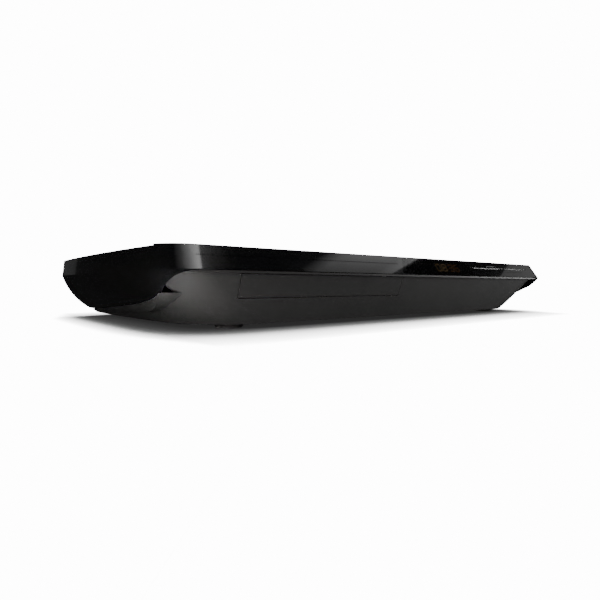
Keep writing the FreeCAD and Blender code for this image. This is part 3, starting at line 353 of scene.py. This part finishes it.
class Mesh:
    """Collects faces with a material each, then becomes one object."""

    def __init__(self):
        self.points = []
        self.faces = []
        self.paints = []
        self.materials = []

    def paint(self, material):
        if material not in self.materials:
            self.materials.append(material)
        return self.materials.index(material)

    def solid(self, corners, faces, material):
        start = len(self.points)
        self.points += corners
        self.faces += [[start + i for i in face] for face in faces]
        self.paints += [self.paint(material)] * len(faces)

    def block(self, place, x, y, z, material, chamfer=0.0):
        """A box given by spans in a local frame, its upper edges chamfered."""
        (x0, x1), (y0, y1), (z0, z1) = x, y, z
        c = chamfer
        rings = [(0, z0), (0, z1 - c), (c, z1)] if c else [(0, z0), (0, z1)]
        corners = [place(a, b, h) for d, h in rings
                   for a, b in ((x0 + d, y0 + d), (x1 - d, y0 + d), (x1 - d, y1 - d), (x0 + d, y1 - d))]
        faces = [[3, 2, 1, 0]]
        top = 4 * (len(rings) - 1)
        for i in range(0, top, 4):
            faces += [[i + j, i + (j + 1) % 4, i + 4 + (j + 1) % 4, i + 4 + j] for j in range(4)]
        self.solid(corners, faces + [[top, top + 1, top + 2, top + 3]], material)

    def turned(self, place, profile, material, count):
        """A profile of (radius, height) pairs turned round the local z axis."""
        rows = len(profile)
        corners = [place(r * math.cos(2 * math.pi * i / count), r * math.sin(2 * math.pi * i / count), z)
                   for i in range(count) for r, z in profile]
        faces = [[i * rows + j, (i + 1) % count * rows + j, (i + 1) % count * rows + j + 1, i * rows + j + 1]
                 for i in range(count) for j in range(rows - 1)]
        self.solid(corners, faces, material)

    def make(self, name, body, smooth=True):
        """One piece that rides on the body, with its own material slot."""
        data = bpy.data.meshes.new(name)
        data.from_pydata([tuple(p) for p in self.points], [], self.faces)
        for material in self.materials:
            data.materials.append(material)
        for face, paint in zip(data.polygons, self.paints):
            face.material_index = paint
            face.use_smooth = smooth
        piece = bpy.data.objects.new(name, data)
        bpy.context.scene.collection.objects.link(piece)
        if smooth:
            data.set_sharp_from_angle(angle=math.radians(32))
        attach(piece, body)


# The display: a dark glass just behind the window, with plain digits in segments
SEGMENTS = {"0": "abcdef", "3": "abgcd", "6": "afgedc", "8": "abcdefg"}
DIGIT_WIDE, DIGIT_TALL, STROKE = 6.6, 7.6, 1.15
DIGIT_LEFT, DIGIT_LOW, DIGIT_STEP = 20.5, 4.2, 8.2
COLON_SPACE = 1.6
COLON_X = (36.3, 37.3)
LIT = (-1.2, -1.05)                 # the segments' layer, on the glass


def segment_boxes(letter, wide, tall, thick):
    """The span across and up of one segment of a digit."""
    half = tall / 2
    gap = thick * 0.16
    across = (thick * 0.5 + gap, wide - thick * 0.5 - gap)
    low = (thick * 0.5 + gap, half - gap)
    high = (half + gap, tall - thick * 0.5 - gap)
    return {"a": (across, (tall - thick, tall)), "g": (across, (half - thick / 2, half + thick / 2)),
            "d": (across, (0, thick)), "f": ((0, thick), high), "b": ((wide - thick, wide), high),
            "e": ((0, thick), low), "c": ((wide - thick, wide), low)}[letter]


GLASS = finish("display_glass", (0.003, 0.003, 0.003), (0.006, 0.006, 0.006), (0.15, 0.25), 0.0, 100, 1500,
               0.05).material
YELLOW = glow("amber_segments", (1.0, 0.72, 0.3), 0.9)
AMBER = glow("brown_segments", (1.0, 0.5, 0.14), 0.55)
display = Mesh()
display.block(on_band, (14.3, 60.7), (2.9, 13.1), (-2.2, -1.2), GLASS, 0.15)
for index, digit in enumerate("0836"):
    left = DIGIT_LEFT + DIGIT_STEP * index + (COLON_SPACE if index > 1 else 0)
    for letter in SEGMENTS[digit]:
        (x0, x1), (y0, y1) = segment_boxes(letter, DIGIT_WIDE, DIGIT_TALL, STROKE)
        display.block(on_band, (left + x0, left + x1), (DIGIT_LOW + y0, DIGIT_LOW + y1), LIT,
                      YELLOW if index < 2 else AMBER)
for y in (6.0, 9.4):
    display.block(on_band, COLON_X, (y, y + 1.0), LIT, AMBER)
display.make("display_digits", "casing", False)

# Light lines on the band beside the keys: spans along the band and up its slope
SILVER = finish("silver_line", (0.55, 0.55, 0.56), (0.74, 0.74, 0.75), (0.25, 0.4), 0.6, 200, 2000,
                0.1).material
PALE = finish("dim_line", (0.2, 0.2, 0.205), (0.3, 0.3, 0.31), (0.35, 0.5), 0.4, 200, 2000, 0.1).material
lines = Mesh()
for across, up, material in (((78.5, 122.3), (8.35, 8.95), SILVER), ((140.0, 167.0), (8.4, 8.85), PALE),
                             ((103.0, 118.0), (11.2, 11.6), PALE)):
    lines.block(on_band, across, up, (-0.1, 0.05), material, 0.02)
lines.make("key_lines", "casing", False)

# Pads on the tray that the disc rests on, left out where the slot for the pickup runs
FELT = finish("tray_felt", (0.02, 0.02, 0.022), (0.05, 0.05, 0.055), (0.8, 0.95), 0.0, 200, 4200, 0.6,
              Sheen_Weight=0.4).material
PAD_PROFILE = [(1.5, 22.6), (1.5, 22.75), (1.2, 22.85), (0.0, 22.87)]
PAD_RING = 58.5                     # radius on which the pads lie
PAD_COUNT = 8
SLOT_HALF = 20                      # half the width kept free for the slot
pads = Mesh()
for i in range(PAD_COUNT):
    a = math.pi * (0.125 + i / 4)
    centre = (DISC_X + PAD_RING * math.cos(a), DISC_V + PAD_RING * math.sin(a))
    if abs(centre[0] - DISC_X) > SLOT_HALF:
        pads.turned(lambda x, y, z, c=centre: at(c[0] + x, c[1] + y, z), PAD_PROFILE, FELT, 20)
pads.make("tray_pads", "tray")

# Rear sockets: coloured insulators and the contact combs
RINGS = {"orange": (0.75, 0.2, 0.02), "red": (0.55, 0.02, 0.02), "white": (0.72, 0.72, 0.7)}
JACKS = ((70, 17.1, "orange"), (90, 17.1, "red"), (90, 31.1, "white"))
# Contacts of the network, video and serial sockets: middle, reach to the first one, pitch, number, half
# width of one, span in depth, span over the deck
COMBS = [(6, 4.4, 1.27, 8, 0.2, (204, 212), (10.2, 10.6)),
         (49, 4.8, 1.2, 9, 0.3, (209, 215.6), (3.6, 3.68)),
         (28, 3.4, 2.2, 4, 0.5, (208, 215.5), (2.5, 2.64))]
dyed = {k: finish("insulator_" + k, tuple(c * 0.8 for c in v), v, (0.35, 0.5), 0.0, 150, 1800, 0.1).material
        for k, v in RINGS.items()}
jacks = Mesh()
for x, h, tint in JACKS:
    place = (lambda a, b, z, x=x, h=h: at(x + a, REAR + z, h - b))
    jacks.turned(place, [(3.28, 6.35), (3.1, 6.6), (1.75, 6.6), (1.62, 6.35)], dyed[tint], 40)
    jacks.turned(place, [(3.98, 0.0), (5.0, 0.0), (5.0, 0.6), (4.7, 0.8), (4.2, 0.8), (4.2, 0.0)],
                 dyed[tint], 40)
for middle, reach, pitch, number, half, depths, (low, high) in COMBS:
    for i in range(number):
        x = middle - reach + pitch * i
        jacks.block(at, (x - half, x + half), depths, (DECK + low, DECK + high), GOLD)
jacks.make("socket_details", "casing")

# Small parts on the boards. The lists hold what is taken already: x from and to, depth from and to
BUSY = [(28, 72, 124, 168), (78, 102, 126, 160), (76, 104, 107, 118), (-2, 27, 111, 122), (2, 21, 171, 182),
        (102, 112, 170, 186), (82, 104, 95, 104), (-8, 2, 136, 166), (-3, 108, 198, 214), (-8, 4, 96, 106),
        (102, 112, 96, 106), (-8, 3, 186, 198), (102, 112, 186, 196), (84, 102, 92, 104)]
POWER_BUSY = [(129, 167, 105, 145), (130, 153, 160, 184), (157, 179, 165, 180), (123, 178, 83, 97),
              (118, 128, 168, 188), (136, 168, 196, 214), (118, 128, 62, 74), (176, 186, 62, 74),
              (118, 128, 186, 197), (176, 186, 186, 197)]
MAIN_SPAN = (-8, 112, 96, 205)
POWER_SPAN = (118, 186, 62, 194)
# Resistor, capacitor, square chip and small chip: width, depth and height
SMALL = {"r": (1.6, 0.8, 0.5), "c": (2.0, 1.25, 0.9), "q": (7.0, 7.0, 1.2), "s": (5.0, 4.0, 1.4)}
SMALL_DRAW = "rrrrccccqs"           # how often each kind comes
EDGE = 2                            # bare margin round a board
APART = 0.5                         # room kept round a part
TRIES = 12                          # draws for each part before giving up
CAP = 0.05                          # how far an end cap stands out
CAP_SHARE = 0.24                    # an end cap's share of the length
LEG_PITCH = 0.8
LEG_OUT = 0.75
LEG_HALF = 0.15
LEG_HIGH = 0.35
TAN = finish("ceramic_tan", (0.3, 0.2, 0.11), (0.42, 0.3, 0.18), (0.4, 0.5), 0.0, 400, 3000, 0.1).material


def free(x, v, w, d, busy):
    return all(x + w < a or x > b or v + d < c or v > e for a, b, c, e in busy)


def ends(low, high, reach):
    """The spans of the two end caps of a part that runs from low to high."""
    return [(low - CAP, low + reach), (high - reach, high + CAP)]


def capped(mesh, x, v, w, d, tall, body):
    """A resistor or capacitor with a metal cap at both ends."""
    mesh.block(at, (x, x + w), (v, v + d), (DECK, DECK + tall), body, CAP)
    reach = CAP_SHARE * max(w, d)
    whole_x, whole_v = [(x - CAP, x + w + CAP)] * 2, [(v - CAP, v + d + CAP)] * 2
    pairs = zip(ends(x, x + w, reach), whole_v) if w > d else zip(whole_x, ends(v, v + d, reach))
    for xs, vs in pairs:
        mesh.block(at, xs, vs, (DECK, DECK + tall + 0.04), PLATED, CAP)


def legged(mesh, x, v, w, d, tall):
    """A chip with a row of legs along both sides."""
    mesh.block(at, (x + 0.6, x + w - 0.6), (v + 0.6, v + d - 0.6), (DECK + 0.15, DECK + tall), EPOXY, 0.12)
    legs = int(d / LEG_PITCH)
    for i in range(legs):
        y = v + LEG_PITCH + i * (d - 2 * LEG_PITCH) / max(1, legs - 1)
        for xs in ((x, x + LEG_OUT), (x + w - LEG_OUT, x + w)):
            mesh.block(at, xs, (y - LEG_HALF, y + LEG_HALF), (DECK, DECK + LEG_HIGH), PLATED)


def scatter(mesh, span, busy, count):
    """Small parts at drawn places on a board, clear of what stands there."""
    placed = 0
    for _ in range(count * TRIES):
        kind = dice.choice(SMALL_DRAW)
        w, d, tall = SMALL[kind]
        if dice.random() < 0.5:
            w, d = d, w
        x = dice.uniform(span[0] + EDGE, span[1] - w - EDGE)
        v = dice.uniform(span[2] + EDGE, span[3] - d - EDGE)
        if not free(x - APART, v - APART, w + 2 * APART, d + 2 * APART, busy):
            continue
        busy.append((x, x + w, v, v + d))
        if kind in "rc":
            capped(mesh, x, v, w, d, tall, EPOXY if kind == "r" else TAN)
        else:
            legged(mesh, x, v, w, d, tall)
        placed += 1
        if placed >= count:
            return


parts = Mesh()
scatter(parts, MAIN_SPAN, BUSY, 150)
parts.make("main_board_parts", "casing")
supply = Mesh()
scatter(supply, POWER_SPAN, POWER_BUSY, 34)
for x, v in ((172, 130), (172, 146), (124, 150)):
    place = (lambda a, b, z, x=x, v=v: at(x + a, v + z, DECK + 2.0 + b))
    supply.turned(place, [(0.0, -5.0), (1.4, -5.0), (1.6, -4.6), (1.6, 4.6), (1.4, 5.0), (0.0, 5.0)],
                  EPOXY, 18)
    supply.turned(place, [(1.63, 2.6), (1.63, 3.6)], SILVER, 18)
    supply.turned(place, [(0.35, -7.5), (0.35, 7.5)], PLATED, 8)
supply.make("power_board_parts", "casing")


def wound(name, centre, ring_radius, radius, turns, wire, material):
    """Wire wound round a ring that stands upright, open at one side."""
    curve = bpy.data.curves.new(name, "CURVE")
    curve.dimensions = "3D"
    curve.bevel_depth = wire / 1000
    curve.bevel_resolution = 3
    line = curve.splines.new("POLY")
    steps = turns * 14              # fourteen straight lengths to a turn
    line.points.add(steps)
    for i in range(steps + 1):
        big = math.radians(20) + math.radians(320) * i / steps
        small = 2 * math.pi * turns * i / steps
        reach = ring_radius + radius * math.cos(small)
        p = at(centre[0] + reach * math.cos(big), centre[1] + radius * math.sin(small),
               centre[2] + reach * math.sin(big))
        line.points[i].co = (p.x, p.y, p.z, 1)
    curve.materials.append(material)
    piece = bpy.data.objects.new(name, curve)
    bpy.context.scene.collection.objects.link(piece)
    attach(piece, "casing")


wound("choke_winding", (168, 172, DECK + 10.7), 7.5, 3.55, 34, 0.34, COPPER)

# The set: pale floor, soft boxes and the camera at the photograph's angle
BACKDROP = 14.0                     # how bright the empty set looks to the camera
AIR = 1.0                           # light that the air gives the part
MIRRORED_AIR = 0.008                # what polished faces mirror where no light stands
FLOOR_HALF = 30
SHADE_REACH = 0.06                  # how near a part has to be to cast the painted shadow on the floor, in metres
# How bright the painted shadow leaves the floor at each share of open air above it
SHADE = ((0.3, 0.005), (0.5, 0.02), (0.62, 0.08), (0.8, 0.26), (0.93, 0.47))
SHADE_DARKEST = 0.002
SHADE_CLEAR = 0.995                 # the share from which the floor is as bright as the backdrop


def sheet(name, spans, material):
    """A flat rectangle that belongs to the set."""
    (x0, x1), (y0, y1) = spans
    data = bpy.data.meshes.new(name)
    data.from_pydata([(x0, y0, 0), (x1, y0, 0), (x1, y1, 0), (x0, y1, 0)], [], [[0, 1, 2, 3]])
    data.materials.append(material)
    made = bpy.data.objects.new(name, data)
    bpy.context.scene.collection.objects.link(made)
    return made


def floor_material():
    """Pale to light; the camera sees it as bright as the backdrop, with a painted shadow where parts stand
    close above.
    """
    t = Tree("studio_floor", Roughness=0.6, Specular_IOR_Level=0.2)
    t.feed(t.ramp(t.noise(3, 2), (0.86, 0.86, 0.86), (0.9, 0.9, 0.9)), "Base Color")
    # Painted shadow: the share of open air above each point sets how bright the camera sees the floor
    open_air = t.node("ShaderNodeAmbientOcclusion", Distance=SHADE_REACH, samples=16).outputs["AO"]
    across = t.axis(t.coords.outputs["Object"], "X")
    # The painted shadow fades out beyond both ends of the casing
    beyond = t.calc(t.spread(across, 0.0, 0.5, 0.165, 0.205), t.spread(across, 0.5, 0.0, -0.24, -0.205))
    fall = t.node("ShaderNodeValToRGB", [(t.calc(open_air, beyond), "Fac")])
    fall.color_ramp.elements[0].color = (SHADE_DARKEST, SHADE_DARKEST, SHADE_DARKEST, 1)
    fall.color_ramp.elements[1].position = SHADE_CLEAR
    for share, level in SHADE:
        step = fall.color_ramp.elements.new(share)
        step.color = (level, level, level, 1)
    bright = t.node("ShaderNodeEmission", [(fall.outputs["Color"], "Color")], Strength=BACKDROP)
    rays = t.node("ShaderNodeLightPath")
    either = t.node("ShaderNodeMixShader", [(rays.outputs["Is Camera Ray"], "Fac")])
    t.tree.links.new(t.shader.outputs[0], either.inputs[1])
    t.tree.links.new(bright.outputs[0], either.inputs[2])
    t.shown_as(either)
    return t.material


floor = sheet("studio_floor", ((-FLOOR_HALF, FLOOR_HALF), (-FLOOR_HALF, FLOOR_HALF)), floor_material())
floor.visible_glossy = False


def aimed(made, aim, direction, distance, roll=0, shift=(0, 0)):
    """Puts a light so that it looks at the aim point from a direction, rolled and slid in its own plane."""
    way = Vector(direction).normalized()
    turn = (-way).to_track_quat("-Z", "Y")
    made.location = Vector(aim) + way * distance
    made.location += turn @ Vector((*shift, 0))
    made.rotation_mode = "QUATERNION"
    made.rotation_quaternion = turn @ Quaternion((0, 0, 1), math.radians(roll))
    made.visible_camera = False


def lamp(name, aim, direction, distance, size, strength, shift=(0, 0), glossy=True):
    """A soft box."""
    light = bpy.data.lights.new(name, "AREA")
    light.shape = "RECTANGLE"
    light.size, light.size_y = size
    light.energy = strength
    made = bpy.data.objects.new(name, light)
    bpy.context.scene.collection.objects.link(made)
    aimed(made, aim, direction, distance, 0, shift)
    made.visible_glossy = glossy


def card(name, aim, direction, distance, roll, spans, fades):
    """A glowing card that the camera doesn't see itself, only in polished faces.

    Each fade is a direction on the card with its steps, (place, level) in rising order."""
    t = Tree(name + "_light")
    place = t.coords.outputs["Object"]
    level = None
    for way, steps in fades:
        along = t.node("ShaderNodeVectorMath", [(place, 0)], operation="DOT_PRODUCT")
        along.inputs[1].default_value = (way[0], way[1], 0)
        first, last = steps[0][0], steps[-1][0]
        share = t.spread(along.outputs["Value"], 0, 1, first, last)
        curve = t.node("ShaderNodeValToRGB", [(share, "Fac")])
        stops = curve.color_ramp.elements
        for spot, value in steps[1:-1]:
            stops.new((spot - first) / (last - first))
        for stop, (spot, value) in zip(stops, steps):
            stop.color = (value, value, value, 1)
        level = curve.outputs["Color"] if level is None else t.calc(level, curve.outputs["Color"], "MULTIPLY")
    shine = t.node("ShaderNodeEmission", [(level, "Strength")])
    t.shown_as(shine)
    made = sheet(name, spans, t.material)
    aimed(made, aim, direction, distance, roll)
    made.visible_shadow = False


# Lights that the photo's reflections need: aim, direction and distance, then size or spans, and level
FAR = ((0.2, -0.1, 0.02), (0.95, -0.35, 0.3), 1.2)
card("corner_card", (-0.2, -0.1, 0.04), (0.08, -0.4, 0.9), 1.0, 0, ((-0.6, 0.402), (-0.16, 0.32)),
     [((1, 0), [(-0.55, 0.0), (-0.25, 0.5), (0.08, 2.0), (0.402, 4.0)])])
card("band_card", (-0.06, -0.11, 0.042), (0.745, -0.252, 0.617), 1.5, -28.3, ((-0.25, 0.35), (-0.067, 0.16)),
     [((0, -1), [(-0.14, 0.0), (-0.09, 0.85), (0.03, 0.7), (0.067, 1.35)]),
      ((1, 1.6), [(-0.06, 0.45), (0.07, 1.05)])])
lamp("end_box", *FAR, (0.15, 0.14), 0.015, (0.175, 0.15))
lamp("wing_end", (-0.2165, 0.085, 0.04), (-0.155, 0.985, 0.07), 1.0, (0.1, 0.3), 0.004)
lamp("low_fill", (-0.17, -0.1, 0.02), (-0.45, -0.9, 0.25), 1.1, (0.5, 0.3), 1.7, glossy=False)
lamp("near_bounce", (-0.198, -0.098, 0.02), (-0.8, -0.56, -0.3), 0.036, (0.02, 0.012), 0.06, glossy=False)
lamp("right_fill", *FAR, (0.5, 0.4), 2.2, glossy=False)
lamp("low_right", (0.16, -0.11, 0.02), (0.92, -0.38, 0.08), 0.9, (0.4, 0.1), 2.8)
# Lights for the other sides
lamp("rear_box", (0, 0.1, 0.03), (0.35, 0.9, 0.5), 1.4, (0.9, 0.5), 12)
lamp("top_box", (0, 0, 0.05), (0, 0.45, 0.9), 1.3, (0.8, 0.5), 3)
lamp("left_box", (-0.2, 0, 0.03), (-0.97, -0.15, 0.2), 1.2, (0.5, 0.3), 3)
lamp("right_box", (0.2, 0, 0.03), (0.97, 0.3, 0.25), 1.2, (0.5, 0.3), 2)

world = bpy.data.worlds.new("studio_air")
bpy.context.scene.world = world
world.use_nodes = True
sky = world.node_tree
shades = [sky.nodes["Background"]] + [sky.nodes.new("ShaderNodeBackground") for _ in range(2)]
for shade, level in zip(shades, (AIR, BACKDROP, MIRRORED_AIR)):
    shade.inputs["Color"].default_value = (1, 1, 1, 1)
    shade.inputs["Strength"].default_value = level
air, backdrop, mirrored = (shade.outputs[0] for shade in shades)
seen = sky.nodes.new("ShaderNodeLightPath")
polished = sky.nodes.new("ShaderNodeMath")
polished.operation = "MAXIMUM"
sky.links.new(seen.outputs["Is Glossy Ray"], polished.inputs[0])
sky.links.new(seen.outputs["Is Transmission Ray"], polished.inputs[1])


def choose(fac, a, b):
    """The second shader where the factor is one, else the first."""
    made = sky.nodes.new("ShaderNodeMixShader")
    sky.links.new(fac, made.inputs["Fac"])
    sky.links.new(a, made.inputs[1])
    sky.links.new(b, made.inputs[2])
    return made.outputs[0]


plain = choose(seen.outputs["Is Camera Ray"], air, backdrop)
sky.links.new(choose(polished.outputs[0], plain, mirrored), sky.nodes["World Output"].inputs["Surface"])

# The camera is fitted to the photo: level, just above the floor, at the near left corner
view = bpy.data.cameras.new("camera")
view.sensor_width = 36.0
view.lens = 26.91                   # 448.5 pixels per unit of slope, in a picture 600 pixels wide
view.shift_y = -0.0234              # puts the horizon at row 286
view.clip_start = 0.01
view.clip_end = 200
camera = bpy.data.objects.new("camera", view)
camera.location = (-0.30074, -0.32506, 0.02635)
camera.rotation_euler = (math.radians(90), 0, math.radians(-38.98))
bpy.context.scene.collection.objects.link(camera)
bpy.context.scene.camera = camera
